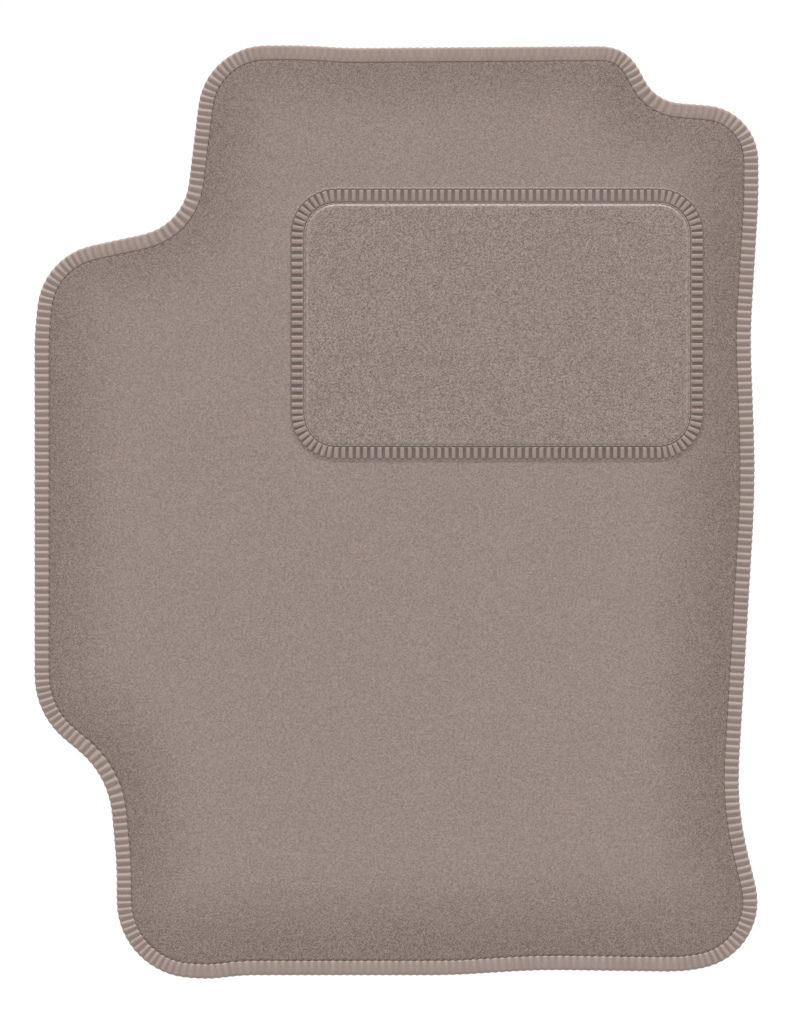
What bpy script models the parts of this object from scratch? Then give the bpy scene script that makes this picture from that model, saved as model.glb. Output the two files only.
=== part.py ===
"""A driver's floor mat: velour carpet on an anti-slip backing, an overlocked edge and a sewn-on heel pad.

Metres, +Z up. The mat lies flat on the floor at z = 0. +Y points forward, to the pedals, and +X to the
right across the car. The origin is on the floor under the middle of the mat's box.
"""

import math

import bmesh
import bpy
from mathutils import Matrix, Vector

MM = 0.001

# The mat's outline, clockwise from its front left corner: x, y and rounding radius of each corner.
MAT_CORNERS = [
    (-139 * MM, 340.5 * MM, 49 * MM),
    (-66 * MM, 340.5 * MM, 220 * MM),
    (-37 * MM, 338.5 * MM, 220 * MM),
    (168 * MM, 340 * MM, 29 * MM),
    (189 * MM, 299.5 * MM, 31 * MM),
    (264 * MM, 294 * MM, 40 * MM),
    (264 * MM, 228 * MM, 220 * MM),
    (258 * MM, 129 * MM, 365 * MM),
    (262 * MM, 23 * MM, 730 * MM),
    (248 * MM, -215 * MM, 220 * MM),
    (274 * MM, -323 * MM, 49 * MM),
    (210 * MM, -335.5 * MM, 110 * MM),
    (105 * MM, -334 * MM, 440 * MM),
    (39 * MM, -338 * MM, 290 * MM),
    (-112 * MM, -338 * MM, 90 * MM),
    (-136 * MM, -340.75 * MM, 66 * MM),
    (-204 * MM, -337.5 * MM, 56 * MM),
    (-204 * MM, -258 * MM, 145 * MM),
    (-210 * MM, -192 * MM, 67 * MM),
    (-264 * MM, -148 * MM, 60 * MM),
    (-264 * MM, 128 * MM, 110 * MM),
    (-258.5 * MM, 186.5 * MM, 50 * MM),
    (-155 * MM, 209 * MM, 43 * MM),
]

HEEL_PAD_CENTRE = Vector((73.5 * MM, 137 * MM))
HEEL_PAD_SIZE = Vector((302 * MM, 198 * MM))
HEEL_PAD_CORNER = 33 * MM

GAP = 0.3 * MM
CURVE_TOLERANCE = 0.15 * MM
MERGE_DISTANCE = 0.01 * MM

# Overlock seams: a yarn that wraps the edge of the layers, and the thread that holds it down.
YARN_WIDTH = 10.2 * MM
YARN_WALL = 0.8 * MM
YARN_CROWN_RADIUS = 2.2 * MM
YARN_HEEL_RADIUS = 0.6 * MM
THREAD_WIDTH = 0.6 * MM
THREAD_HEIGHT = 0.7 * MM

# The heights of the mat's layers above the floor.
BACKING_TOP = 1.6 * MM
BACKING_RIM_BOTTOM = 1.1 * MM
COAT_BOTTOM = BACKING_TOP + GAP
COAT_TOP = COAT_BOTTOM + 0.4 * MM
CLOTH_BOTTOM = COAT_TOP + GAP
CLOTH_TOP = CLOTH_BOTTOM + 0.4 * MM
PILE_BOTTOM = CLOTH_TOP + GAP
PILE_RIM_TOP = 4.4 * MM
PILE_POCKET_FLOOR = 5.0 * MM
PILE_TOP = 6.4 * MM
EDGE_YARN_BOTTOM = 0.2 * MM
EDGE_YARN_TOP = 7.2 * MM

# The heights of the heel pad's layers, which start on the pile that the pad presses down.
PAD_BOTTOM = PILE_POCKET_FLOOR + GAP
PAD_BACKING_RIM_BOTTOM = PAD_BOTTOM + 0.8 * MM
PAD_BACKING_TOP = PAD_BOTTOM + 1.2 * MM
PAD_PILE_BOTTOM = PAD_BACKING_TOP + GAP
PAD_PILE_RIM_TOP = PAD_PILE_BOTTOM + 0.3 * MM
PAD_PILE_TOP = 8.8 * MM
PAD_YARN_TOP = 8.4 * MM

# How far the layers reach in from each outline.
LAYER_INSET = YARN_WALL + GAP
BACKING_FACE_INSET = YARN_WIDTH + GAP
THREAD_INSET = YARN_WIDTH + GAP
PILE_FACE_INSET = THREAD_INSET + THREAD_WIDTH + GAP

CUTTER_REACH = 20 * MM


def clear_scene():
    for obj in list(bpy.data.objects):
        bpy.data.objects.remove(obj)


def new_collection(name):
    collection = bpy.data.collections.new(name)
    bpy.context.scene.collection.children.link(collection)
    return collection


def new_material(name, colour, roughness):
    material = bpy.data.materials.new(name)
    material.use_nodes = True
    shader = material.node_tree.nodes["Principled BSDF"]
    shader.inputs["Base Color"].default_value = (*colour, 1)
    shader.inputs["Roughness"].default_value = roughness
    shader.inputs["Metallic"].default_value = 0
    return material


# Outlines


def corner_arc(before, corner, after, radius):
    """The points of the arc that rounds a corner, or the corner itself where the radius is 0."""
    if radius == 0:
        return [corner]
    to_before = (before - corner).normalized()
    to_after = (after - corner).normalized()
    half_angle = to_before.angle(to_after) / 2
    to_centre = (to_before + to_after).normalized()
    centre = corner + to_centre * (radius / math.sin(half_angle))
    start = corner + to_before * (radius / math.tan(half_angle)) - centre
    end = corner + to_after * (radius / math.tan(half_angle)) - centre
    turn = -start.angle_signed(end)
    step = 2 * math.acos(1 - CURVE_TOLERANCE / radius)
    count = math.ceil(abs(turn) / step)
    return [centre + Matrix.Rotation(turn * i / count, 2) @ start for i in range(count + 1)]


def rounded_outline(corners):
    """The points of a closed outline with rounded corners, given as x, y and radius."""
    places = [Vector((x, y)) for x, y, radius in corners]
    points = []
    for i, (x, y, radius) in enumerate(corners):
        after = places[(i + 1) % len(places)]
        points += corner_arc(places[i - 1], places[i], after, radius)
    return points


def rectangle_corners(centre, size, radius):
    """The corners of a rounded rectangle, clockwise from its front left."""
    half = size / 2
    signs = [(-1, 1), (1, 1), (1, -1), (-1, -1)]
    return [(centre.x + sx * half.x, centre.y + sy * half.y, radius) for sx, sy in signs]


def right_of(direction):
    return Vector((direction.y, -direction.x))


def inset(points, distance):
    """A clockwise outline moved inward, or outward where the distance is negative."""
    moved = []
    for i, point in enumerate(points):
        inward_before = right_of(point - points[i - 1]).normalized()
        inward_after = right_of(points[(i + 1) % len(points)] - point).normalized()
        inward = (inward_before + inward_after).normalized()
        moved.append(point + inward * (distance / inward.dot(inward_before)))
    return moved


# Solids


def outline_curve(name, loops):
    """A flat curve of one or more closed loops."""
    curve = bpy.data.curves.new(name, "CURVE")
    curve.dimensions = "2D"
    for loop in loops:
        spline = curve.splines.new("POLY")
        spline.points.add(len(loop) - 1)
        for point, place in zip(spline.points, loop):
            point.co = (place.x, place.y, 0, 1)
        spline.use_cyclic_u = True
    return curve


def plate(name, loops, bottom, top, collection):
    """A flat solid between two heights. The first loop is its outline and a second one is a hole."""
    curve = outline_curve(name, loops)
    curve.fill_mode = "BOTH"
    curve.extrude = (top - bottom) / 2
    obj = bpy.data.objects.new(name, curve)
    obj.location.z = (bottom + top) / 2
    collection.objects.link(obj)
    return obj


def mesh_from_curve(curve_object, collection):
    """The same solid as a closed mesh, which can be cut."""
    bpy.context.view_layer.update()
    evaluated = curve_object.evaluated_get(bpy.context.evaluated_depsgraph_get())
    mesh = bpy.data.meshes.new_from_object(evaluated)
    edit = bmesh.new()
    edit.from_mesh(mesh)
    bmesh.ops.remove_doubles(edit, verts=edit.verts, dist=MERGE_DISTANCE)
    edit.to_mesh(mesh)
    edit.free()
    name = curve_object.name
    place = curve_object.matrix_world.copy()
    bpy.data.objects.remove(curve_object)
    obj = bpy.data.objects.new(name, mesh)
    obj.matrix_world = place
    collection.objects.link(obj)
    return obj


def mesh_plate(name, loops, bottom, top, collection):
    return mesh_from_curve(plate(name, loops, bottom, top, collection), collection)


def cut(target, cutter):
    cutter.hide_render = True
    cutter.display_type = "WIRE"
    modifier = target.modifiers.new(cutter.name, "BOOLEAN")
    modifier.operation = "DIFFERENCE"
    modifier.solver = "EXACT"
    modifier.object = cutter


def yarn_profile(bottom, slot_bottom, slot_top, top, collection, name):
    """The section of an overlocked edge: a C that opens inward, round the layers' edges."""
    corners = [
        (0, bottom, YARN_HEEL_RADIUS),
        (0, top, YARN_CROWN_RADIUS),
        (YARN_WIDTH, top, YARN_HEEL_RADIUS),
        (YARN_WIDTH, slot_top, 0),
        (YARN_WALL, slot_top, 0),
        (YARN_WALL, slot_bottom, 0),
        (YARN_WIDTH, slot_bottom, 0),
        (YARN_WIDTH, bottom, 0),
    ]
    obj = bpy.data.objects.new(name, outline_curve(name, [rounded_outline(corners)]))
    obj.hide_render = True
    obj.display_type = "WIRE"
    collection.objects.link(obj)
    return obj


def overlock_yarn(name, outline, profile, collection):
    """The yarn's section swept once round an outline."""
    curve = outline_curve(name, [outline])
    curve.fill_mode = "NONE"
    curve.bevel_mode = "OBJECT"
    curve.bevel_object = profile
    obj = bpy.data.objects.new(name, curve)
    collection.objects.link(obj)
    return obj


def needle_thread(name, outline, bottom, collection):
    """The thread in the groove along the yarn's inner edge."""
    loops = [inset(outline, THREAD_INSET), inset(outline, THREAD_INSET + THREAD_WIDTH)]
    return plate(name, loops, bottom, bottom + THREAD_HEIGHT, collection)


def rebate(target, outline, face_inset, bottom, top, cutters):
    """Cuts a band off a layer's edge between two heights, so that only its rim is left there."""
    loops = [inset(outline, -CUTTER_REACH), inset(outline, face_inset)]
    cut(target, mesh_plate(target.name + "_rebate", loops, bottom, top, cutters))


# Sub-parts


def build_backing(outline, parts, cutters):
    name = "anti_slip_backing"
    obj = mesh_plate(name, [inset(outline, LAYER_INSET)], 0, BACKING_TOP, parts)
    rebate(obj, outline, BACKING_FACE_INSET, -CUTTER_REACH, BACKING_RIM_BOTTOM, cutters)
    return obj


def build_coat(outline, parts):
    return plate("latex_bond_coat", [inset(outline, LAYER_INSET)], COAT_BOTTOM, COAT_TOP, parts)


def build_cloth(outline, parts):
    return plate("tufting_base_cloth", [inset(outline, LAYER_INSET)], CLOTH_BOTTOM, CLOTH_TOP, parts)


def build_carpet(outline, pad_outline, parts, cutters):
    name = "velour_carpet"
    obj = mesh_plate(name, [inset(outline, LAYER_INSET)], PILE_BOTTOM, PILE_TOP, parts)
    high = PILE_TOP + CUTTER_REACH
    pocket = [inset(pad_outline, -GAP)]
    cut(obj, mesh_plate("heel_pad_pocket", pocket, PILE_POCKET_FLOOR, high, cutters))
    rebate(obj, outline, PILE_FACE_INSET, PILE_RIM_TOP, high, cutters)
    return obj


def build_edge_yarn(outline, parts, cutters):
    slot_bottom = BACKING_RIM_BOTTOM - GAP
    slot_top = PILE_RIM_TOP + GAP
    profile = yarn_profile(
        EDGE_YARN_BOTTOM, slot_bottom, slot_top, EDGE_YARN_TOP, cutters, "edge_yarn_section"
    )
    return overlock_yarn("edge_overlock_yarn", outline, profile, parts)


def build_pad_backing(outline, parts, cutters):
    name = "heel_pad_backing"
    obj = mesh_plate(name, [inset(outline, LAYER_INSET)], PAD_BOTTOM, PAD_BACKING_TOP, parts)
    low = PAD_BOTTOM - CUTTER_REACH
    rebate(obj, outline, BACKING_FACE_INSET, low, PAD_BACKING_RIM_BOTTOM, cutters)
    return obj


def build_pad_velour(outline, parts, cutters):
    name = "heel_pad_velour"
    obj = mesh_plate(name, [inset(outline, LAYER_INSET)], PAD_PILE_BOTTOM, PAD_PILE_TOP, parts)
    rebate(obj, outline, PILE_FACE_INSET, PAD_PILE_RIM_TOP, PAD_PILE_TOP + CUTTER_REACH, cutters)
    return obj


def build_pad_yarn(outline, parts, cutters):
    slot_bottom = PAD_BACKING_RIM_BOTTOM - GAP
    slot_top = PAD_PILE_RIM_TOP + GAP
    profile = yarn_profile(
        PAD_BOTTOM, slot_bottom, slot_top, PAD_YARN_TOP, cutters, "heel_pad_yarn_section"
    )
    return overlock_yarn("heel_pad_overlock_yarn", outline, profile, parts)


def main():
    clear_scene()
    parts = new_collection("floor_mat")
    cutters = new_collection("cutters")

    velour = new_material("taupe_velour", (0.32, 0.27, 0.23), 0.95)
    pad_velour = new_material("taupe_heel_pad_velour", (0.31, 0.26, 0.22), 0.95)
    yarn = new_material("taupe_overlock_yarn", (0.38, 0.32, 0.28), 0.75)
    thread = new_material("brown_thread", (0.16, 0.13, 0.11), 0.7)
    cloth = new_material("undyed_base_cloth", (0.55, 0.52, 0.47), 0.9)
    latex = new_material("latex", (0.62, 0.58, 0.5), 0.6)
    rubber = new_material("black_rubber", (0.02, 0.02, 0.022), 0.8)

    outline = rounded_outline(MAT_CORNERS)
    pad_corners = rectangle_corners(HEEL_PAD_CENTRE, HEEL_PAD_SIZE, HEEL_PAD_CORNER)
    pad_outline = rounded_outline(pad_corners)

    edge_thread = needle_thread("edge_needle_thread", outline, PILE_RIM_TOP + GAP, parts)
    pad_thread = needle_thread(
        "heel_pad_needle_thread", pad_outline, PAD_PILE_RIM_TOP + GAP, parts
    )
    finishes = [
        (build_backing(outline, parts, cutters), rubber),
        (build_coat(outline, parts), latex),
        (build_cloth(outline, parts), cloth),
        (build_carpet(outline, pad_outline, parts, cutters), velour),
        (build_edge_yarn(outline, parts, cutters), yarn),
        (edge_thread, thread),
        (build_pad_backing(pad_outline, parts, cutters), latex),
        (build_pad_velour(pad_outline, parts, cutters), pad_velour),
        (build_pad_yarn(pad_outline, parts, cutters), yarn),
        (pad_thread, thread),
    ]
    for obj, material in finishes:
        obj.data.materials.append(material)


main()
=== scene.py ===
"""The looks of a driver's floor mat: velour pile, overlocked edge, sewn-on heel pad and rubber backing.

Metres, in the frame's own axes. The mat lies on the floor at z = 0, and +Y points forward, to the pedals.
"""

import math

import bpy
import numpy as np
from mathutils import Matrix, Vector, geometry, kdtree, noise


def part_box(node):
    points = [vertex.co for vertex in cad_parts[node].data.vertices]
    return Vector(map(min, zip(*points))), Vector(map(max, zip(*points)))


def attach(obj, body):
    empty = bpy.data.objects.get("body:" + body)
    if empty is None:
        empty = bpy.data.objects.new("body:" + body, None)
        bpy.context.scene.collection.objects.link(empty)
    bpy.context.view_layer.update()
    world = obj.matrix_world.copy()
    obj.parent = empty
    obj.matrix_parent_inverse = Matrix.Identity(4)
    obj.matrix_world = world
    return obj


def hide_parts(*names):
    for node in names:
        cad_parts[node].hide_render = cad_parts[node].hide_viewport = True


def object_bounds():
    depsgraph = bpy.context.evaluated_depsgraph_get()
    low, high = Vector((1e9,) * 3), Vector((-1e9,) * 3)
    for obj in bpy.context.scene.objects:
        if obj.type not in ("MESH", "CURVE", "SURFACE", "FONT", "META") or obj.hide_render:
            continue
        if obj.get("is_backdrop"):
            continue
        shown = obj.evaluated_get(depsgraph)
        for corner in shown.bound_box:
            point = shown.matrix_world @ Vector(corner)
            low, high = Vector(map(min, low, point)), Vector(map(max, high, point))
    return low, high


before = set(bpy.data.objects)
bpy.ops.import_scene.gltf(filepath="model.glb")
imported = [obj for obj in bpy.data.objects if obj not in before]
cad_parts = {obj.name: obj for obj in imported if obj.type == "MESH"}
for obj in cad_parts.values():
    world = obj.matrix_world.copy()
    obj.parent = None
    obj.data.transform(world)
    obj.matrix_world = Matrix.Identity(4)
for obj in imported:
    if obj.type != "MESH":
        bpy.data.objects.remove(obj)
cad_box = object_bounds()

MM = 0.001

# Outlines, and the loose grids of points between them
OUTLINE_STEP = 1 * MM
OUTLINE_SOFTNESS = 2.5 * MM
WELD = 0.001 * MM
GRID_IRREGULARITY = 0.17
GRID_CLEARANCE = 0.6

# The overlocked edge of the mat
STITCH_PITCH = 5.2 * MM
BINDING_WIDTH = 10.4 * MM
BINDING_WALL = 0.8 * MM
SLOT_GAP = 0.3 * MM
YARN_BULGE = 0.6 * MM
CROWN_DEPTH = 2 * MM
CROWN_SQUARENESS = 0.66
CROWN_POINTS = 11
INNER_END_DEPTH = 1.05 * MM
INNER_END_DROP = 0.95 * MM
INNER_END_ROUNDNESS = 1.5
INNER_END_FILL = 0.66
INNER_CORNER = 0.15 * MM
RIB_STATIONS = np.arange(8) / 8
RIB_FULLNESS = 0.97
RIB_DEPTH_ON_TOP = 1.05 * MM
RIB_DEPTH_OUTSIDE = 0.4 * MM
RIB_DEPTH_INSIDE = 0.25 * MM
RIB_DEPTH_BELOW = 0.3 * MM
PITCH_VARIATION = 0.05
HEIGHT_VARIATION = 0.08
EDGE_THREAD_INSET = 10.77 * MM
EDGE_THREAD_HEIGHT = 6.25 * MM
THREAD_RADIUS = 0.26 * MM
THREAD_SIDES = 7
THREAD_DIP = 0.9
THREAD_THINNESS_AT_HOLES = 0.72

# The rubber backing, whose nubs' levels give shares of their radius and height
BACKING_RIM_BOTTOM = 1.1 * MM
BACKING_RIM_INSET = 1.1 * MM
BACKING_FACE_INSET = 10.5 * MM
NUB_PITCH = 10 * MM
NUB_RADIUS = 1.9 * MM
NUB_HEIGHT = 0.6 * MM
NUB_SIDES = 8
NUB_LEVELS = ((1.0, 0.2), (0.92, -0.55), (0.55, -0.92))
NUBS_START = 14 * MM

# The pile of the mat, whose profiles give insets and heights in millimetres
PILE_RIM_TOP = 4.4 * MM
PILE_EDGE_PROFILE = (
    (1.1, 4.4), (10.46, 4.4), (10.48, 5.4), (10.51, 5.95), (11.04, 6.0), (11.08, 6.35), (11.2, 6.5),
    (11.5, 6.57), (12.5, 6.61), (14.5, 6.64), (16.5, 6.67),
)
PILE_POCKET_PROFILE = (
    (-2.6, 6.8), (-1.1, 6.8), (-0.88, 6.85), (-0.62, 7.02), (-0.32, 7.2), (-0.1, 7.22), (-0.06, 7.1),
    (-0.06, 5.0),
)
PILE_HEIGHT = 6.8 * MM
PILE_SAG_REACH = 10 * MM
PILE_GRID = 2.1 * MM
PILE_UNEVENNESS = 0.03 * MM
PILE_CLUMP_SIZE = 7 * MM
PILE_CLUMP_HEIGHT = 0.05 * MM
# Painted shade near the mat's border: it fades out between EDGE_SHADE_START and EDGE_SHADE_END in from the
# edge, measured from shifted places, so it reaches further in on the right and at the back
EDGE_SHADE_START = 4 * MM
EDGE_SHADE_END = 79 * MM
EDGE_SHADE_SHIFT = np.array([5.5, -10]) * MM

# The heel pad, whose profiles give insets and heights in millimetres
PAD_PILE_PROFILE = (
    (1.1, 6.88), (10.0, 6.88), (10.05, 7.03), (10.4, 7.06), (10.94, 7.12), (10.98, 7.38), (11.3, 7.47),
    (11.8, 7.75), (12.2, 7.97), (12.6, 8.12), (13.0, 8.18), (13.5, 8.2), (14.8, 8.2),
)
PAD_EDGE_SECTION = (
    (9.8, 5.9), (9.8, 5.3), (1.0, 5.3), (0.1, 5.5), (0, 6.4), (0.01, 7.02), (0.08, 7.14), (0.2, 7.18),
    (0.34, 7.14), (0.5, 7.05), (1.3, 7.04), (8.5, 7.1), (9.45, 7.36), (9.8, 7.1), (9.8, 6.93),
    (0.8, 6.93), (0.8, 5.9),
)
# How far each point of the pad's edge section stands out of the painted shade: 0, on the band between the
# stitches, takes the darkest
PAD_EDGE_CREST = (0, 0, 0, 0.3, 0.5, 0.5, 0.5, 0.5, 0.3, 0, 0, 0, 0.5, 0.3, 0, 0, 0)
PAD_PILE_GRID = 1.25 * MM
FIBRE_SIDES_SHOW = (11.0 * MM, 11.2 * MM)
FIBRE_SIDES_END = (12.8 * MM, 13.8 * MM)
PAD_STITCH_LENGTH = 8.6 * MM
PAD_STITCH_WIDTH = 3.1 * MM
PAD_STITCH_INSET = 0.82 * MM
PAD_STITCH_BASE = 7.0 * MM
PAD_STITCH_TOP = 7.65 * MM
PAD_STITCH_SQUARENESS_ACROSS = 4
PAD_STITCH_SQUARENESS_ALONG = 10
PAD_STITCH_VARIATION = 0.06
PAD_STITCH_SHARE_OF_PITCH = 0.9
SCALLOP_DEPTH = 0.35 * MM
SCALLOP_SHARPNESS = 2.5
SCALLOP_REACH = 2.4 * MM
PAD_THREAD_INSET = 10.62 * MM
PAD_THREAD_HEIGHT = 7.6 * MM
PAD_THREAD_RADIUS = 0.32 * MM

# The camera and the light
CAMERA_DISTANCE = 3
MAT_SHARE_OF_PICTURE_HEIGHT = 0.9117
SUN_ELEVATION = math.radians(14)
SUN_SOFTNESS = math.radians(10)
SUN_SHARE = 0.24
FLOOR_REACH = 20
FLOOR_DROP = 0.2 * MM

# The grain of the materials
TUFT_SIZE = 0.65 * MM
PAD_TUFT_SIZE = 0.7 * MM
TUFT_RELIEF = 0.12 * MM
PATCH_SIZE = 55 * MM
FUZZ_SIZE = 0.35 * MM
STRAND_RELIEF = 0.16 * MM
STRAND_TWIST = 0.22
STRAND_STRETCH = 0.12
WEAVE_SIZE = 4.396 * MM
WEAVE_RELIEF = 0.1 * MM
PIT_SIZE = 0.5 * MM

# Colours, as shares of red, green and blue light
VELOUR_COLOUR = (0.3205, 0.2549, 0.2275)
# Painted shade: the velour's colour at the mat's border
EDGE_SHADED_VELOUR_COLOUR = (0.249, 0.1927, 0.1696)
PAD_VELOUR_COLOUR = (0.3, 0.238, 0.211)
EDGE_YARN_COLOUR = (0.361, 0.287, 0.257)
STITCH_YARN_COLOUR = (0.343, 0.272, 0.242)
PRESSED_EDGE_COLOUR = (0.32, 0.254, 0.226)
DARK_THREAD_COLOUR = (0.4, 0.32, 0.286)
# A lighter thread, made lighter still as painted highlight for the bright line along the heel pad's inner
# seam
THREAD_AND_HIGHLIGHT_COLOUR = (0.46, 0.369, 0.329)
RUBBER_COLOUR = (0.022, 0.022, 0.024)
LATEX_COLOUR = (0.6, 0.56, 0.48)
PAD_LATEX_COLOUR = (0.55, 0.51, 0.44)
BASE_CLOTH_COLOUR = (0.55, 0.52, 0.46)
FLOOR_COLOUR = (0.05, 0.05, 0.05)
VELOUR_SHEEN_COLOUR = (0.75, 0.68, 0.62)
YARN_GLOSS_COLOUR = (1, 0.8, 0.7)

random = np.random.default_rng(7)


# Outlines


def enclosed_area(points):
    """The area inside a closed line, above 0 where it runs counter-clockwise."""
    before = np.roll(points, 1, axis=0)
    return np.sum(before[:, 0] * points[:, 1] - points[:, 0] * before[:, 1]) / 2


def cap_outline(node):
    """The x, y corners round the lowest face of a CAD node, counter-clockwise."""
    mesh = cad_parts[node].data
    low = min(vertex.co.z for vertex in mesh.vertices)
    sides = set()
    for polygon in mesh.polygons:
        corners = [mesh.vertices[i].co for i in polygon.vertices]
        if max(corner.z for corner in corners) < low + WELD:
            keys = [(round(corner.x / WELD), round(corner.y / WELD)) for corner in corners]
            sides.update(zip(keys, keys[1:] + keys[:1]))
    follows = {a: b for a, b in sides if (b, a) not in sides}
    loop = [min(follows)]
    while follows[loop[-1]] != loop[0]:
        loop.append(follows[loop[-1]])
    points = np.array(loop, float) * WELD
    return points if enclosed_area(points) > 0 else points[::-1]


def closed_lengths(points):
    """How far along a closed line each point is, ending with the whole length."""
    steps = np.linalg.norm(np.roll(points, -1, axis=0) - points, axis=1)
    return np.concatenate([[0], np.cumsum(steps)])


def evenly_spaced(points, step):
    """A closed line again, with its points about one step apart."""
    along = closed_lengths(points)
    closed = np.vstack([points, points[:1]])
    at = np.arange(round(along[-1] / step)) * along[-1] / round(along[-1] / step)
    return np.stack([np.interp(at, along, closed[:, axis]) for axis in (0, 1)], axis=1)


def softened(points, step, softness):
    """A closed line of even steps with its kinks smoothed out."""
    waves = np.fft.fftfreq(len(points), step)
    kept = np.exp(-2 * (np.pi * waves * softness) ** 2)
    return np.fft.ifft(np.fft.fft(points, axis=0) * kept[:, None], axis=0).real


class Outline:
    """A smooth closed outline, counter-clockwise, with a place for each distance along it and in from it."""

    def __init__(self, inner_node, outer_node):
        """The outline of the outer node, whose edge runs evenly round the inner node's lowest face."""
        corners = cap_outline(inner_node)
        line = softened(evenly_spaced(corners, OUTLINE_STEP), OUTLINE_STEP, OUTLINE_SOFTNESS)
        ahead = np.roll(line, -1, axis=0) - np.roll(line, 1, axis=0)
        ahead /= np.linalg.norm(ahead, axis=1)[:, None]
        self.inward = np.stack([-ahead[:, 1], ahead[:, 0]], axis=1)
        low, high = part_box(outer_node)
        self.points = line - self.inward * ((high.x - low.x) - np.ptp(corners[:, 0])) / 2
        self.along = closed_lengths(self.points)
        self.length = self.along[-1]
        self.tree = kdtree.KDTree(len(self.points))
        for i, point in enumerate(self.points):
            self.tree.insert((*point, 0), i)
        self.tree.balance()

    def place(self, along, inset):
        """The x, y places at these distances along the outline and in from it."""
        columns = []
        for values in (self.points, self.inward):
            for axis in (0, 1):
                found = np.interp(along, self.along[:-1], values[:, axis], period=self.length)
                columns.append(found)
        x, y, inward_x, inward_y = columns
        return np.stack([x + inward_x * inset, y + inward_y * inset], axis=-1)

    def stations(self):
        """Distances along the outline in even steps."""
        count = round(self.length / OUTLINE_STEP)
        return np.arange(count) * self.length / count

    def ring(self, inset):
        """Places round the outline, all at one inset."""
        return self.place(self.stations(), inset)

    def depth(self, places):
        """How far in from the outline each place is, below 0 outside it."""
        depths = []
        for place in places:
            nearest, index, distance = self.tree.find((*place, 0))
            inside = np.dot(place - self.points[index], self.inward[index]) > 0
            depths.append(distance if inside else -distance)
        return np.array(depths)


def eased(values, start, end):
    """0 before start and 1 after end, with a smooth step between them."""
    share = np.clip((values - start) / (end - start), 0, 1)
    return share * share * (3 - 2 * share)


def uneven(amount, shape=None):
    """Random numbers up to this amount below or above 0."""
    return random.uniform(-amount, amount, shape)


# Meshes


def new_piece(name, vertices, faces, material, sharp_angle=180):
    """A shaded-smooth mesh object."""
    mesh = bpy.data.meshes.new(name)
    mesh.from_pydata(vertices, [], faces)
    mesh.materials.append(material)
    mesh.shade_smooth()
    if sharp_angle < 180:
        mesh.set_sharp_from_angle(angle=math.radians(sharp_angle))
    obj = bpy.data.objects.new(name, mesh)
    bpy.context.scene.collection.objects.link(obj)
    return obj


def paint(obj, name, values):
    """Keeps one number for each vertex, for the materials to read."""
    attribute = obj.data.attributes.new(name, "FLOAT", "POINT")
    attribute.data.foreach_set("value", np.asarray(values, np.float32))


def swept(outline, along, insets, heights):
    """The vertices and faces of a closed section swept round an outline.

    along holds a distance for each station, and insets and heights hold a row of the section's points for
    each station.
    """
    stations, section = insets.shape
    flat = outline.place(np.repeat(along, section), insets.ravel())
    vertices = np.column_stack([flat, heights.ravel()])
    first = np.arange(stations)[:, None] * section + np.arange(section)
    ahead = np.roll(first, -1, axis=0)
    faces = np.stack([first, ahead, np.roll(ahead, -1, axis=1), np.roll(first, -1, axis=1)], axis=-1)
    return vertices, faces.reshape(-1, 4)


def seam_coordinates(obj, stations, section, turns, across):
    """A UV map whose u counts stitches round the seam, and whose v runs across it in millimetres."""
    layer = obj.data.uv_layers.new(name="seam")
    u = np.append(turns, round(turns[-1]))
    v = np.append(across, across[-1])
    station = np.arange(stations)[:, None] + np.zeros(section, int)
    point = np.arange(section) + np.zeros((stations, 1), int)
    u_corners = np.stack([u[station], u[station + 1], u[station + 1], u[station]], axis=-1)
    v_corners = np.stack([v[point], v[point], v[point + 1], v[point + 1]], axis=-1)
    layer.uv.foreach_set("vector", np.stack([u_corners, v_corners], axis=-1).astype(np.float32).ravel())


def rings_joined(first, second, count):
    """Quads between two rings of vertices, given by the index of each ring's first vertex."""
    i = np.arange(count)
    j = (i + 1) % count
    quads = np.stack([first + i, first + j, second + j, second + i], axis=1)
    return [tuple(quad) for quad in quads.tolist()]


def filled(loops, inside_points):
    """Triangles between closed loops and the points inside them, as indices into all of them in order."""
    places = np.vstack([*loops, inside_points])
    edges = []
    start = 0
    for loop in loops:
        edges += [(start + i, start + (i + 1) % len(loop)) for i in range(len(loop))]
        start += len(loop)
    vectors = [Vector(place) for place in places]
    found = geometry.delaunay_2d_cdt(vectors, edges, [], 1, WELD)
    triangles, originals = found[2], found[3]
    return [tuple(originals[i][0] for i in triangle) for triangle in triangles]


def lid(loop):
    """Triangles that fill one closed loop."""
    return filled([loop], np.empty((0, 2)))


def grid_inside(low, high, spacing, accept):
    """A slightly irregular grid of places in close-packed rows, where accept says that a place is wanted."""
    rows = np.arange(low[1], high[1], spacing * math.sqrt(3) / 2)
    columns = np.arange(low[0], high[0], spacing)
    x, y = np.meshgrid(columns, rows)
    x[1::2] += spacing / 2
    places = np.stack([x.ravel(), y.ravel()], axis=1)
    places += uneven(GRID_IRREGULARITY, places.shape) * spacing
    return places[accept(places)]


# Materials


def node(tree, kind, inputs=None, **settings):
    """A shader node with its settings, its inputs set to values or linked to other nodes' outputs."""
    made = tree.nodes.new(kind)
    for key, value in settings.items():
        setattr(made, key, value)
    for key, value in (inputs or {}).items():
        if isinstance(value, bpy.types.NodeSocket):
            tree.links.new(value, made.inputs[key])
        else:
            made.inputs[key].default_value = value
    return made


def ranged(tree, value, to_min, to_max, from_max=1):
    """A value from 0 to from_max brought to a range."""
    reach = {"Value": value, "From Max": from_max, "To Min": to_min, "To Max": to_max}
    return node(tree, "ShaderNodeMapRange", reach).outputs["Result"]


def varied(tree, value, amount):
    """A factor near 1 that follows a texture's value."""
    return ranged(tree, value, 1 - amount, 1 + amount)


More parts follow.
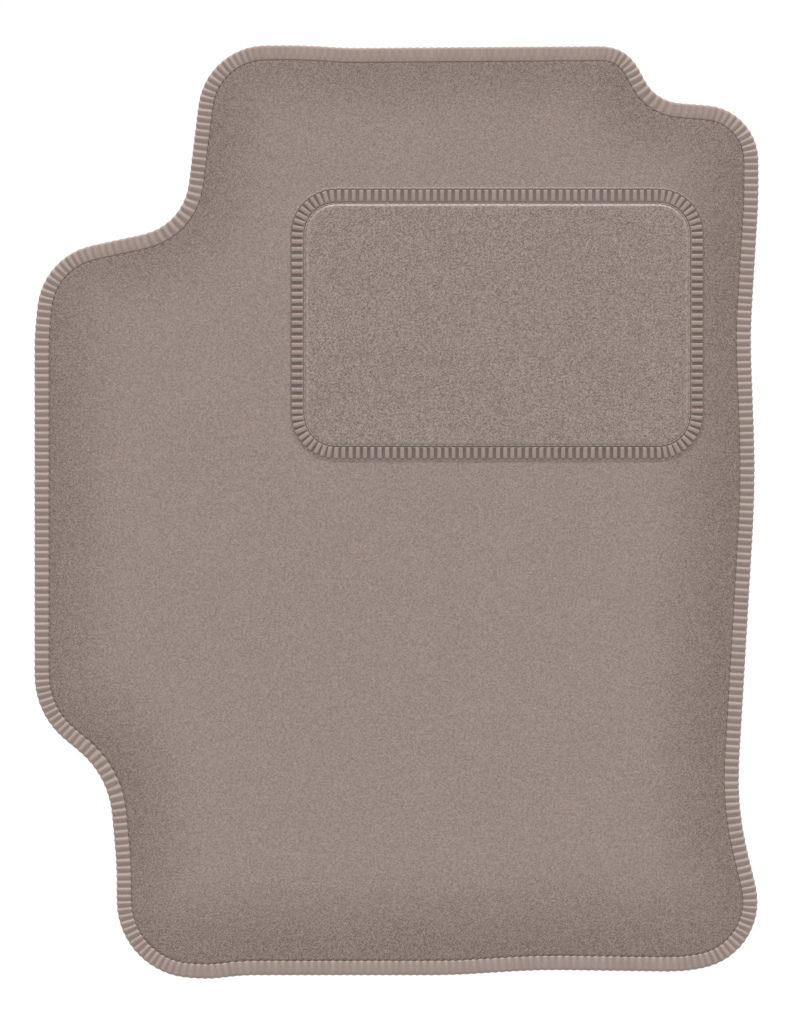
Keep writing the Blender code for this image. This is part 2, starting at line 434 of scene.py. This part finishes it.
def product(tree, *factors):
    total = factors[0]
    for factor in factors[1:]:
        total = node(tree, "ShaderNodeMath", {0: total, 1: factor}, operation="MULTIPLY").outputs[0]
    return total


def weighted_sum(tree, *terms):
    """The sum of pairs of a texture's value and its weight."""
    total = 0.0
    for value, weight in terms:
        added = node(tree, "ShaderNodeMath", {0: value, 1: weight, 2: total}, operation="MULTIPLY_ADD")
        total = added.outputs[0]
    return total


def noise_texture(tree, where, size, detail=2, roughness=0.55):
    """A cloudy texture whose patches are about one size across, in metres."""
    settings = {"Vector": where, "Scale": 1 / size, "Detail": detail, "Roughness": roughness}
    return node(tree, "ShaderNodeTexNoise", settings).outputs["Fac"]


def new_material(name, roughness, specular=0.3, sheen=0.0):
    material = bpy.data.materials.new(name)
    material.use_nodes = True
    tree = material.node_tree
    shader = tree.nodes["Principled BSDF"]
    shader.inputs["Roughness"].default_value = roughness
    shader.inputs["Specular IOR Level"].default_value = specular
    shader.inputs["Sheen Weight"].default_value = sheen
    shader.inputs["Sheen Roughness"].default_value = 0.5
    return material, tree, shader


def finish_surface(tree, shader, colour, factor, height, distance):
    """Links a colour times a factor, and a bump of this height, to the shader."""
    shade = node(tree, "ShaderNodeVectorMath", {0: colour, "Scale": factor}, operation="SCALE")
    tree.links.new(shade.outputs["Vector"], shader.inputs["Base Color"])
    bump = node(tree, "ShaderNodeBump", {"Height": height, "Distance": distance, "Strength": 1.0})
    tree.links.new(bump.outputs["Normal"], shader.inputs["Normal"])


def object_place(tree):
    return node(tree, "ShaderNodeTexCoord").outputs["Object"]


def attribute(tree, name):
    return node(tree, "ShaderNodeAttribute", attribute_name=name).outputs["Fac"]


def mixed(tree, factor, first, second):
    """A colour between two, by a factor from 0 to 1."""
    mix = node(tree, "ShaderNodeMix", {0: factor, 6: (*first, 1), 7: (*second, 1)}, data_type="RGBA")
    return mix.outputs[2]


def velour_material(name, colour, edge_shaded_colour, tuft_size, grain, edge_shade_grain):
    """Cut pile: tufts that differ in tone, fine fibre ends, soft patches and painted shade near the border.
    """
    material, tree, shader = new_material(name, 0.9, specular=0.12, sheen=0.05)
    shader.inputs["Sheen Tint"].default_value = (*VELOUR_SHEEN_COLOUR, 1)
    where = object_place(tree)
    tufts = node(tree, "ShaderNodeTexVoronoi", {"Vector": where, "Scale": 1 / tuft_size})
    tone = node(tree, "ShaderNodeSeparateColor", {"Color": tufts.outputs["Color"]}).outputs["Red"]
    fibres = noise_texture(tree, where, tuft_size * 0.7, detail=3, roughness=0.7)
    patches = noise_texture(tree, where, PATCH_SIZE, detail=3)
    # Painted shade near the border: out_of_edge_shade is 0 at the edge and 1 further in
    out_of_shade = attribute(tree, "out_of_edge_shade")
    fibre_weight = 2.4
    average = (1.0 + fibre_weight) / 2
    spread = weighted_sum(tree, (tone, 1.0), (fibres, fibre_weight), (-average, 1.0))
    amount = ranged(tree, out_of_shade, edge_shade_grain, grain)
    specks = node(tree, "ShaderNodeMath", {0: spread, 1: amount, 2: 1.0}, operation="MULTIPLY_ADD").outputs[0]
    side = attribute(tree, "fibre_side")
    tree.links.new(ranged(tree, side, to_min=0.9, to_max=0.46), shader.inputs["Roughness"])
    tree.links.new(ranged(tree, side, to_min=0.12, to_max=1.0), shader.inputs["Specular IOR Level"])
    factor = product(tree, specks, varied(tree, patches, 0.04))
    height = weighted_sum(tree, (tufts.outputs["Distance"], -0.6), (fibres, 1.0))
    finish_surface(tree, shader, mixed(tree, out_of_shade, edge_shaded_colour, colour), factor, height, TUFT_RELIEF)
    return material


def yarn_material(name, colour, roughness, strands, valley_shade):
    """Sewing yarn: strands along each stitch, a tone for each stitch, and painted shade in the hollows
    between them.
    """
    material, tree, shader = new_material(name, roughness, specular=0.3, sheen=0.02)
    shader.inputs["Specular Tint"].default_value = (*YARN_GLOSS_COLOUR, 1)
    seam = node(tree, "ShaderNodeUVMap", uv_map="seam").outputs["UV"]
    u, v, w = node(tree, "ShaderNodeSeparateXYZ", {"Vector": seam}).outputs
    stitch = node(tree, "ShaderNodeMath", {0: u}, operation="FLOOR").outputs[0]
    tone = node(tree, "ShaderNodeTexWhiteNoise", {"W": stitch}, noise_dimensions="1D").outputs["Value"]
    twisted = weighted_sum(tree, (u, strands), (v, STRAND_TWIST))
    lengthwise = node(tree, "ShaderNodeMath", {0: v, 1: STRAND_STRETCH}, operation="MULTIPLY").outputs[0]
    place = node(tree, "ShaderNodeCombineXYZ", {"X": twisted, "Y": lengthwise}).outputs["Vector"]
    settings = {"Vector": place, "Scale": 1.0, "Detail": 2, "Roughness": 0.6}
    strand = node(tree, "ShaderNodeTexNoise", settings).outputs["Fac"]
    fuzz = noise_texture(tree, object_place(tree), FUZZ_SIZE)
    # Painted shade: the colour darkens towards valley_shade where the crest attribute falls to 0
    hollow = ranged(tree, attribute(tree, "crest"), valley_shade, 1.0, from_max=0.6)
    factor = product(
        tree,
        varied(tree, tone, 0.035),
        varied(tree, strand, 0.16),
        varied(tree, fuzz, 0.08),
        hollow,
    )
    height = weighted_sum(tree, (strand, 1.0), (fuzz, 0.35))
    finish_surface(tree, shader, colour, factor, height, STRAND_RELIEF)
    return material


def plain_weave_material(name, colour):
    """A woven base cloth, with warp and weft bands crossing."""
    material, tree, shader = new_material(name, 0.85, specular=0.2)
    where = object_place(tree)
    bands = []
    for direction in ("X", "Y"):
        settings = {"Vector": where, "Scale": 1 / WEAVE_SIZE, "Distortion": 0.4, "Detail": 1}
        wave = node(tree, "ShaderNodeTexWave", settings, bands_direction=direction)
        bands.append(wave.outputs["Fac"])
    cloudy = noise_texture(tree, where, 12 * MM)
    factor = product(tree, *(varied(tree, texture, 0.1) for texture in (*bands, cloudy)))
    height = weighted_sum(tree, (bands[0], 1.0), (bands[1], 1.0))
    finish_surface(tree, shader, colour, factor, height, WEAVE_RELIEF)
    return material


def mottled_material(name, colour, roughness, patch_size, amount, bump_height):
    """A poured or moulded surface: soft blotches with a fine pitted skin."""
    material, tree, shader = new_material(name, roughness, specular=0.35)
    where = object_place(tree)
    patches = noise_texture(tree, where, patch_size, detail=4)
    pits = noise_texture(tree, where, PIT_SIZE, detail=3, roughness=0.7)
    factor = product(tree, varied(tree, patches, amount), varied(tree, pits, amount))
    finish_surface(tree, shader, colour, factor, weighted_sum(tree, (pits, 1.0), (patches, 0.4)), bump_height)
    return material


def floor_material():
    """A bright studio floor, as lit from below by a light table."""
    material, tree, shader = new_material("studio_floor", 0.9, specular=0.1)
    shader.inputs["Base Color"].default_value = (*FLOOR_COLOUR, 1)
    shader.inputs["Emission Color"].default_value = (1, 1, 1, 1)
    shader.inputs["Emission Strength"].default_value = 0.98
    return material


# Pieces


def rib_height(share):
    """How high a rib stands across one stitch: 0 in the valleys at its two sides and 1 on its crest."""
    return ((1 - np.cos(2 * math.pi * share)) / 2) ** RIB_FULLNESS


def irregular_stitches(length, pitch):
    """Where each stitch starts along a seam, ending with the seam's length, a little uneven as sewn."""
    count = round(length / pitch)
    widths = 1 + uneven(PITCH_VARIATION, count)
    return np.concatenate([[0], np.cumsum(widths)]) * length / widths.sum()


def binding_section():
    """The overlocked edge's section: insets, heights, and how far they sink in and up between two ribs."""
    low, high = (corner.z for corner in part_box("edge_overlock_yarn"))
    slot_low, slot_high = BACKING_RIM_BOTTOM - SLOT_GAP, PILE_RIM_TOP + SLOT_GAP
    middle, half = (low + high) / 2, (high - low) / 2
    points = []
    for share in (0.82, 0.5):
        points.append((BINDING_WIDTH * share, low, 0, RIB_DEPTH_BELOW))
    for angle in np.radians(np.linspace(-90, 90, CROWN_POINTS)):
        out, up = math.cos(angle), math.sin(angle)
        inset = CROWN_DEPTH - (CROWN_DEPTH + YARN_BULGE) * out**CROWN_SQUARENESS
        height = middle + half * math.copysign(abs(up) ** CROWN_SQUARENESS, up)
        sink = -up * (RIB_DEPTH_ON_TOP if up > 0 else RIB_DEPTH_BELOW)
        points.append((inset, height, out * RIB_DEPTH_OUTSIDE, sink))
    top_end = BINDING_WIDTH - INNER_END_DEPTH
    points.append(((CROWN_DEPTH + top_end) / 2, high, 0, -RIB_DEPTH_ON_TOP))
    for share in (0, 0.35, 0.7, 1):
        height = high - INNER_END_DROP * share**INNER_END_ROUNDNESS
        sink = -RIB_DEPTH_ON_TOP * (1 - INNER_END_FILL * share)
        points.append((top_end + INNER_END_DEPTH * share, height, -share * RIB_DEPTH_INSIDE, sink))
    for inset, height in ((BINDING_WIDTH, slot_high), (BINDING_WALL, slot_high), (BINDING_WALL, slot_low)):
        points.append((inset, height, 0, 0))
    points.append((BINDING_WIDTH, slot_low, 0, 0))
    points.append((BINDING_WIDTH - INNER_CORNER, low + INNER_CORNER, 0, RIB_DEPTH_BELOW / 2))
    return np.array(points).T


def edge_binding(outline, material):
    """The yarn that wraps the mat's edge, stitch by stitch."""
    starts = irregular_stitches(outline.length, STITCH_PITCH)
    widths = np.diff(starts)
    along = (starts[:-1, None] + widths[:, None] * RIB_STATIONS).ravel()
    turns = (np.arange(len(widths))[:, None] + RIB_STATIONS).ravel()
    tallness = 1 + uneven(HEIGHT_VARIATION, len(widths))
    crest = np.tile(rib_height(RIB_STATIONS), len(widths))
    fullness = crest * np.repeat(tallness, len(RIB_STATIONS))
    insets, heights, sink_in, sink_up = binding_section()
    sunk = (1 - np.minimum(fullness, 1))[:, None]
    vertices, faces = swept(outline, along, insets + sunk * sink_in, heights + sunk * sink_up)
    obj = new_piece("edge_binding", vertices, faces.tolist(), material)
    # The crest sets the yarn's painted shade in the valleys between the ribs
    paint(obj, "crest", np.repeat(crest, len(insets)))
    across = np.concatenate([[0], np.cumsum(np.hypot(np.diff(insets), np.diff(heights)))]) / MM
    seam_coordinates(obj, len(along), len(insets), turns, across)
    return obj


def seam_thread(name, outline, inset, height, radius, material):
    """A sewing thread that runs round a seam and dips into the cloth after each stitch."""
    count = round(outline.length / STITCH_PITCH)
    station = np.arange(count * len(RIB_STATIONS))
    share = np.tile(RIB_STATIONS, count)
    along = (station // len(RIB_STATIONS) + share) * outline.length / count
    rise = rib_height(share)
    angle = np.arange(THREAD_SIDES) * 2 * math.pi / THREAD_SIDES
    thickness = radius * (THREAD_THINNESS_AT_HOLES + (1 - THREAD_THINNESS_AT_HOLES) * rise)
    insets = inset + thickness[:, None] * np.cos(angle)
    middle = height - radius * THREAD_DIP * (1 - rise)
    heights = middle[:, None] + thickness[:, None] * np.sin(angle)
    vertices, faces = swept(outline, along, insets, heights)
    obj = new_piece(name, vertices, faces.tolist(), material)
    # The rise sets the thread's painted shade where it dips into the cloth
    paint(obj, "crest", np.repeat(rise, THREAD_SIDES))
    turns = station // len(RIB_STATIONS) + share
    seam_coordinates(obj, len(along), THREAD_SIDES, turns, angle * radius / MM)
    return obj


def layered_pile(name, outer, inner, inside_points, surface, bottom, material):
    """A closed pile: rings of one outline, then a fine field, then rings of a second outline round a hollow.

    outer and inner hold pairs of a ring's places and its height, from the pile's rim to the field and from
    the field to the hollow's floor.
    """
    rings = [*outer, *inner]
    starts = np.concatenate([[0], np.cumsum([len(places) for places, height in rings])]).astype(int)
    vertices = [np.column_stack([places, np.full(len(places), height)]) for places, height in rings]
    faces = []
    for group, first in ((outer, 0), (inner, len(outer))):
        for i in range(first, first + len(group) - 1):
            faces += rings_joined(starts[i], starts[i + 1], len(rings[i][0]))
    borders = [len(outer) - 1, *([len(outer)] if inner else [])]
    field = [rings[i][0] for i in borders]
    numbers = [np.arange(len(rings[i][0])) + starts[i] for i in borders]
    numbers = np.concatenate([*numbers, np.arange(len(inside_points)) + starts[-1]])
    hollow_start, hollow_end = len(field[0]), sum(len(loop) for loop in field)
    for triangle in filled(field, inside_points):
        in_hollow = all(hollow_start <= i < hollow_end for i in triangle)
        if not in_hollow:
            faces.append(tuple(int(numbers[i]) for i in triangle))
    vertices.append(np.column_stack([inside_points, surface(inside_points)]))
    floor_start = starts[-1] + len(inside_points)
    if inner:
        last = starts[len(rings) - 1]
        faces += [tuple(int(last + i) for i in triangle) for triangle in lid(inner[-1][0])]
    rim = outer[0][0]
    vertices.append(np.column_stack([rim, np.full(len(rim), bottom)]))
    faces += rings_joined(floor_start, 0, len(rim))
    faces += [tuple(int(floor_start + i) for i in reversed(triangle)) for triangle in lid(rim)]
    return new_piece(name, np.vstack(vertices), faces, material)


def clumped(places, height):
    """The height of the pile at these places, with its small unevenness."""
    clumps = [noise.noise(Vector((*place, 0)) / PILE_CLUMP_SIZE) for place in places]
    return height + np.array(clumps) * PILE_CLUMP_HEIGHT + random.normal(0, PILE_UNEVENNESS, len(places))


def in_millimetres(profile, ring):
    """Rings of places and their heights, from a profile in millimetres."""
    return [(ring(inset * MM), height * MM) for inset, height in profile]


def scallop(outline, starts, along):
    """How far the sewn edge of the heel pad draws in at these distances: most between two stitches."""
    share = np.interp(along, starts, np.arange(len(starts))) % 1
    return SCALLOP_DEPTH * np.abs(2 * share - 1) ** SCALLOP_SHARPNESS


def velour_pile(outline, pad_outline, pad_starts, material):
    """The mat's pile, pressed down under the edge binding and under the heel pad."""
    low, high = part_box("velour_carpet")
    field_inset, field_height = (value * MM for value in PILE_EDGE_PROFILE[-1])
    pocket_reach = -PILE_POCKET_PROFILE[0][0] * MM
    stations = pad_outline.stations()
    drawn_in = scallop(pad_outline, pad_starts, stations)

    def pad_ring(inset):
        follow = eased(inset, -SCALLOP_REACH, 0)
        return pad_outline.place(stations, inset + drawn_in * follow)

    def surface(places):
        further_in = outline.depth(places) - field_inset
        rise = (PILE_HEIGHT - field_height) * (1 - np.exp(-further_in / PILE_SAG_REACH))
        return clumped(places, field_height + rise)

    def wanted(places):
        in_mat = outline.depth(places) > field_inset + GRID_CLEARANCE * PILE_GRID
        off_pad = pad_outline.depth(places) < -pocket_reach - GRID_CLEARANCE * PILE_GRID
        return in_mat & off_pad

    obj = layered_pile(
        "velour_pile",
        in_millimetres(PILE_EDGE_PROFILE, outline.ring),
        in_millimetres(PILE_POCKET_PROFILE, pad_ring),
        grid_inside(low, high, PILE_GRID, wanted),
        surface,
        low.z,
        material,
    )
    # Painted shade near the mat's border, reaching further in on the right and at the back
    places = np.array([vertex.co[:2] for vertex in obj.data.vertices])
    depth = outline.depth(places + EDGE_SHADE_SHIFT)
    paint(obj, "out_of_edge_shade", eased(depth, EDGE_SHADE_START, EDGE_SHADE_END))
    return obj


def heel_pad_pile(outline, material):
    """The heel pad's own pile, with its rounded border."""
    low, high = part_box("heel_pad_velour")
    field_inset, field_height = (value * MM for value in PAD_PILE_PROFILE[-1])

    def surface(places):
        return clumped(places, field_height)

    def wanted(places):
        return outline.depth(places) > field_inset + GRID_CLEARANCE * PAD_PILE_GRID

    obj = layered_pile(
        "heel_pad_pile",
        in_millimetres(PAD_PILE_PROFILE, outline.ring),
        [],
        grid_inside(low, high, PAD_PILE_GRID, wanted),
        surface,
        low.z,
        material,
    )
    places = np.array([vertex.co for vertex in obj.data.vertices])
    depth = outline.depth(places[:, :2])
    # No painted edge shade on the heel pad
    paint(obj, "out_of_edge_shade", np.ones(len(places)))
    paint(obj, "fibre_side", eased(depth, *FIBRE_SIDES_SHOW) * (1 - eased(depth, *FIBRE_SIDES_END)))
    return obj


def heel_pad_binding(outline, starts, material):
    """The pressed edge of the heel pad: a thin rim, and the flat band that lies under its stitches."""
    section = np.array(PAD_EDGE_SECTION) * MM
    along = outline.stations()
    near_edge = 1 - eased(section[:, 0], 0, 2 * MM)
    insets = section[:, 0] + scallop(outline, starts, along)[:, None] * near_edge
    heights = np.tile(section[:, 1], (len(along), 1))
    vertices, faces = swept(outline, along, insets, heights)
    obj = new_piece("heel_pad_binding", vertices, faces.tolist(), material)
    # Painted shade on the band between the stitches, lighter on the rim
    paint(obj, "crest", np.tile(PAD_EDGE_CREST, len(along)))
    across = np.concatenate([[0], np.cumsum(np.linalg.norm(np.diff(section, axis=0), axis=1))]) / MM
    turns = np.interp(along, starts, np.arange(len(starts)))
    seam_coordinates(obj, len(along), len(section), turns, across)
    return obj


def heel_pad_stitches(outline, starts, material):
    """The wide flat stitches that hold the heel pad down."""
    rows = np.array([-1, -0.98, -0.93, -0.82, -0.5, 0, 0.5, 0.82, 0.93, 0.98, 1])
    columns = np.array([-1, -0.96, -0.82, -0.5, 0, 0.5, 0.82, 0.96, 1])
    lengthwise, sideways = np.meshgrid(rows, columns, indexing="ij")
    rounded_across = np.sqrt(1 - np.abs(sideways) ** PAD_STITCH_SQUARENESS_ACROSS)
    rise = rounded_across * np.sqrt(1 - np.abs(lengthwise) ** PAD_STITCH_SQUARENESS_ALONG)
    middle = PAD_STITCH_INSET + PAD_STITCH_LENGTH / 2
    grid = np.arange(rise.size).reshape(rise.shape)
    quads = np.stack([grid[:-1, :-1], grid[1:, :-1], grid[1:, 1:], grid[:-1, 1:]], axis=-1).reshape(-1, 4)
    rim = [*grid[0, :], *grid[1:, -1], *grid[-1, -2::-1], *grid[-2:0:-1, 0]]
    vertices, faces, u = [], [], []
    for number, (start, end) in enumerate(zip(starts, starts[1:])):
        centre = outline.place(np.array([(start + end) / 2]), middle)[0]
        outer = outline.place(np.array([(start + end) / 2]), 0)[0]
        inward = (centre - outer) / np.linalg.norm(centre - outer)
        ahead = np.array([inward[1], -inward[0]])
        width = PAD_STITCH_WIDTH * (1 + uneven(PAD_STITCH_VARIATION))
        height = PAD_STITCH_TOP - PAD_STITCH_BASE + uneven(PAD_STITCH_VARIATION) * MM
        places = centre + lengthwise[..., None] * inward * PAD_STITCH_LENGTH / 2
        places = places + sideways[..., None] * ahead * width / 2
        shape = np.concatenate([places, (PAD_STITCH_BASE + rise * height)[..., None]], axis=-1)
        first = number * rise.size
        vertices.append(shape.reshape(-1, 3))
        faces += (quads + first).tolist()
        faces.append([int(i) + first for i in reversed(rim)])
        u.append(number + (1 + sideways.ravel() * PAD_STITCH_SHARE_OF_PITCH) / 2)
    obj = new_piece("heel_pad_stitches", np.vstack(vertices), faces, material, sharp_angle=60)
    # The rise sets the painted shade at the rounded edges of each stitch
    paint(obj, "crest", np.tile(rise.ravel(), len(u)))
    layer = obj.data.uv_layers.new(name="seam")
    v = np.tile(lengthwise.ravel() * PAD_STITCH_LENGTH / 2 / MM, len(u))
    corners = np.zeros(len(obj.data.loops), np.int32)
    obj.data.loops.foreach_get("vertex_index", corners)
    u_and_v = np.stack([np.concatenate(u)[corners], v[corners]], axis=1)
    layer.uv.foreach_set("vector", u_and_v.astype(np.float32).ravel())
    return obj


def rubber_backing(outline, material):
    """The anti-slip sheet, with its grip nubs down to the floor."""
    low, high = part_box("anti_slip_backing")
    face = low.z + NUB_HEIGHT
    inner_ring, outer_ring = outline.ring(BACKING_FACE_INSET), outline.ring(BACKING_RIM_INSET)
    rings = [
        (inner_ring, face), (inner_ring, BACKING_RIM_BOTTOM), (outer_ring, BACKING_RIM_BOTTOM),
        (outer_ring, high.z),
    ]
    count = len(rings[0][0])
    vertices = [np.column_stack([places, np.full(count, height)]) for places, height in rings]
    faces = []
    for i in range(len(rings) - 1):
        faces += [tuple(reversed(quad)) for quad in rings_joined((i + 1) * count, i * count, count)]
    faces += [tuple(reversed(triangle)) for triangle in lid(inner_ring)]
    top_start = (len(rings) - 1) * count
    faces += [tuple(top_start + i for i in triangle) for triangle in lid(outer_ring)]
    turn = np.arange(NUB_SIDES) * 2 * math.pi / NUB_SIDES
    circle = np.stack([np.cos(turn), np.sin(turn)], axis=1)
    base = len(rings) * count
    for centre in grid_inside(low, high, NUB_PITCH, lambda places: outline.depth(places) > NUBS_START):
        for radius, drop in NUB_LEVELS:
            ring = centre + circle * NUB_RADIUS * radius
            vertices.append(np.column_stack([ring, np.full(NUB_SIDES, face + drop * NUB_HEIGHT)]))
        vertices.append(np.array([[*centre, low.z]]))
        for level in range(len(NUB_LEVELS) - 1):
            start = base + level * NUB_SIDES
            faces += [tuple(reversed(quad)) for quad in rings_joined(start, start + NUB_SIDES, NUB_SIDES)]
        tip = base + len(NUB_LEVELS) * NUB_SIDES
        last = tip - NUB_SIDES
        faces += [(last + (i + 1) % NUB_SIDES, last + i, tip) for i in range(NUB_SIDES)]
        faces.append(tuple(range(base, base + NUB_SIDES)))
        base = tip + 1
    return new_piece("rubber_backing", np.vstack(vertices), faces, material, sharp_angle=50)


# The stage


def add_floor():
    mesh = bpy.data.meshes.new("floor")
    square = ((-1, -1), (1, -1), (1, 1), (-1, 1))
    corners = [(x * FLOOR_REACH, y * FLOOR_REACH, -FLOOR_DROP) for x, y in square]
    mesh.from_pydata(corners, [], [(0, 1, 2, 3)])
    mesh.materials.append(floor_material())
    floor = bpy.data.objects.new("floor", mesh)
    bpy.context.scene.collection.objects.link(floor)
    floor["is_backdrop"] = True


def add_light():
    """A soft sun from the front of the mat, and even light from all round."""
    data = bpy.data.lights.new("key_light", "SUN")
    data.energy = SUN_SHARE * math.pi / math.sin(SUN_ELEVATION)
    data.angle = SUN_SOFTNESS
    light = bpy.data.objects.new("key_light", data)
    light.rotation_euler.x = SUN_ELEVATION - math.pi / 2
    bpy.context.scene.collection.objects.link(light)
    world = bpy.data.worlds.new("studio")
    world.use_nodes = True
    background = world.node_tree.nodes["Background"]
    background.inputs["Color"].default_value = (1, 1, 1, 1)
    background.inputs["Strength"].default_value = 1 - SUN_SHARE
    bpy.context.scene.world = world


def add_camera():
    """A long lens straight above the mat's middle, with the front of the mat at the top of the picture."""
    low, high = cad_box
    data = bpy.data.cameras.new("camera")
    picture_height = (high.y - low.y) / MAT_SHARE_OF_PICTURE_HEIGHT
    data.lens = data.sensor_width * CAMERA_DISTANCE / picture_height
    camera = bpy.data.objects.new("camera", data)
    camera.location = ((low.x + high.x) / 2, (low.y + high.y) / 2, high.z + CAMERA_DISTANCE)
    bpy.context.scene.collection.objects.link(camera)
    bpy.context.scene.camera = camera


# The mat

bpy.context.scene.view_settings.view_transform = "Standard"
add_camera()
add_light()
add_floor()

mat_outline = Outline("tufting_base_cloth", "edge_overlock_yarn")
pad_outline = Outline("heel_pad_velour", "heel_pad_overlock_yarn")
stitch_middle = PAD_STITCH_INSET + PAD_STITCH_LENGTH / 2
pad_pitch = STITCH_PITCH * pad_outline.length / (pad_outline.length - 2 * math.pi * stitch_middle)
pad_starts = irregular_stitches(pad_outline.length, pad_pitch)

velour = velour_material(
    "taupe_velour", VELOUR_COLOUR, EDGE_SHADED_VELOUR_COLOUR, TUFT_SIZE, grain=0.5, edge_shade_grain=0.72
)
pad_colours = (PAD_VELOUR_COLOUR, PAD_VELOUR_COLOUR)
pad_velour = velour_material(
    "taupe_heel_pad_velour", *pad_colours, PAD_TUFT_SIZE, grain=0.74, edge_shade_grain=0.74
)
yarn = yarn_material("taupe_overlock_yarn", EDGE_YARN_COLOUR, 0.58, strands=7, valley_shade=0.94)
stitch_yarn = yarn_material("taupe_stitch_yarn", STITCH_YARN_COLOUR, 0.7, strands=5, valley_shade=0.9)
# Deep painted shade on the band between the heel pad's stitches
pressed_edge = yarn_material("pressed_pad_edge", PRESSED_EDGE_COLOUR, 0.8, strands=5, valley_shade=0.55)
dark_thread = yarn_material("brown_thread", DARK_THREAD_COLOUR, 0.65, strands=2, valley_shade=0.92)
# The heel pad's thread, with painted highlight in its light colour
thread_and_highlight = yarn_material("taupe_thread", THREAD_AND_HIGHLIGHT_COLOUR, 0.65, strands=2, valley_shade=0.9)
rubber = mottled_material("black_rubber", RUBBER_COLOUR, 0.7, 40 * MM, amount=0.25, bump_height=0.08 * MM)
latex = mottled_material("latex", LATEX_COLOUR, 0.55, 15 * MM, amount=0.12, bump_height=0.1 * MM)
pad_latex = mottled_material("pad_latex", PAD_LATEX_COLOUR, 0.6, 12 * MM, amount=0.12, bump_height=0.1 * MM)
base_cloth = plain_weave_material("undyed_base_cloth", BASE_CLOTH_COLOUR)

mat_pile = velour_pile(mat_outline, pad_outline, pad_starts, velour)
pad_pile = heel_pad_pile(pad_outline, pad_velour)
edge_thread = seam_thread(
    "edge_seam_thread", mat_outline, EDGE_THREAD_INSET, EDGE_THREAD_HEIGHT, THREAD_RADIUS, dark_thread
)
pad_thread = seam_thread(
    "heel_pad_seam_thread", pad_outline, PAD_THREAD_INSET, PAD_THREAD_HEIGHT, PAD_THREAD_RADIUS, thread_and_highlight
)
for piece, cad_node, slot in (
    (mat_pile, "velour_carpet", "velour"),
    (edge_binding(mat_outline, yarn), "edge_overlock_yarn", "overlock_yarn"),
    (edge_thread, "edge_needle_thread", "thread"),
    (pad_pile, "heel_pad_velour", "heel_pad_velour"),
    (heel_pad_binding(pad_outline, pad_starts, pressed_edge), "heel_pad_overlock_yarn", "thread"),
    (heel_pad_stitches(pad_outline, pad_starts, stitch_yarn), "heel_pad_overlock_yarn", "overlock_yarn"),
    (pad_thread, "heel_pad_needle_thread", "thread"),
    (rubber_backing(mat_outline, rubber), "anti_slip_backing", "backing_rubber"),
):
    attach(piece, "root")
    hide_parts(cad_node)

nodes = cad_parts
for cad_node, material in (
    ("latex_bond_coat", latex), ("tufting_base_cloth", base_cloth), ("heel_pad_backing", pad_latex)
):
    nodes[cad_node].data.materials.clear()
    nodes[cad_node].data.materials.append(material)

for sheet, cut_from, rests_on in (
    (nodes["tufting_base_cloth"], "tufting_base_cloth", "latex_bond_coat"),
    (mat_pile, "velour_carpet", "tufting_base_cloth"),
    (pad_pile, "heel_pad_velour", "heel_pad_backing"),
):
    low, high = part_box(cut_from)
    area = enclosed_area(cap_outline(cut_from))

new_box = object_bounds()
[[list(corner) for corner in box] for box in (cad_box, new_box)]
